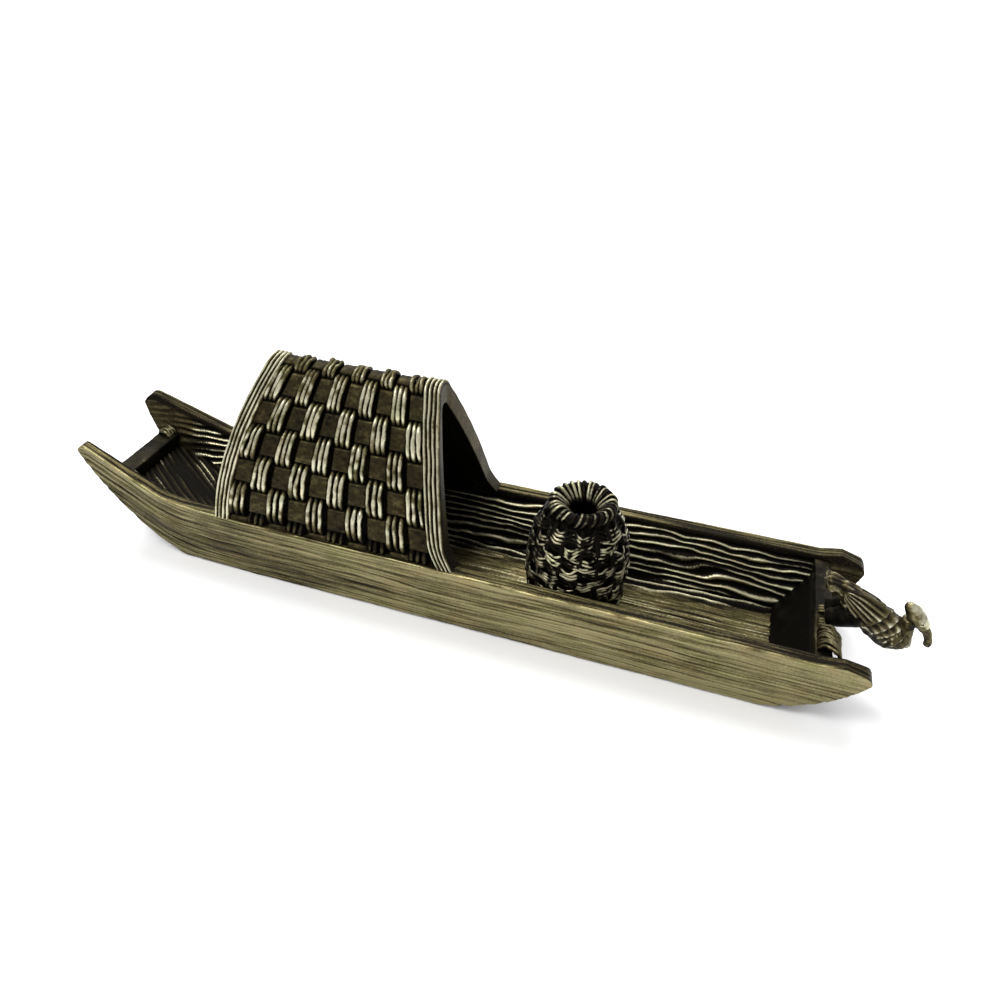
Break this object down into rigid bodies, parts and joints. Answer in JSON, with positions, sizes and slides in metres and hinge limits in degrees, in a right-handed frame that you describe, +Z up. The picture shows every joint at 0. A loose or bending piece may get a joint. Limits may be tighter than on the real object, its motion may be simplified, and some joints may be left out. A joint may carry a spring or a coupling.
{
  "type": "incense burner",
  "caption": "Small brass fishing-boat incense holder with a woven canopy, a creel whose mouth takes an incense stick, and a cormorant leaning over the bow.",
  "frame": {"origin": "middle of the bounding box's underside, on the boat's flat bottom", "axes": "+X towards the bow, +Y towards port, +Z up"},
  "size_m": [0.1272, 0.0244, 0.0349],
  "materials": {
    "hull_brass": "antique brass, brushed wood-grain relief",
    "deck_patina": "blackened brass, ribbed",
    "canopy_brass": "antique brass, dark between woven strands",
    "rim_brass": "antique brass, polished by wear",
    "basket_patina": "blackened brass with bright edges",
    "bird_brass": "antique brass, feathered relief"
  },
  "bodies": {
    "root": {"starboard_plank": "hull_brass", "port_plank": "hull_brass", "bottom_board": "hull_brass", "deck_floor": "deck_patina", "stern_ramp": "deck_patina", "bow_ramp": "deck_patina", "stern_crossbeam": "deck_patina", "bow_crossbeam": "deck_patina", "stern_lashing": "deck_patina", "bow_lashing": "deck_patina", "canopy_shell": "canopy_brass", "canopy_mat": "canopy_brass", "canopy_bundles": "rim_brass", "canopy_stern_rim": "rim_brass", "canopy_bow_rim": "rim_brass", "basket_body": "basket_patina", "basket_rim": "basket_patina", "cormorant_body": "bird_brass", "cormorant_port_wing": "bird_brass", "cormorant_starboard_wing": "bird_brass", "cormorant_tail": "bird_brass", "cormorant_neck": "bird_brass", "cormorant_head": "bird_brass", "cormorant_bill": "bird_brass", "cormorant_feet": "bird_brass"}
  },
  "joints": []
}
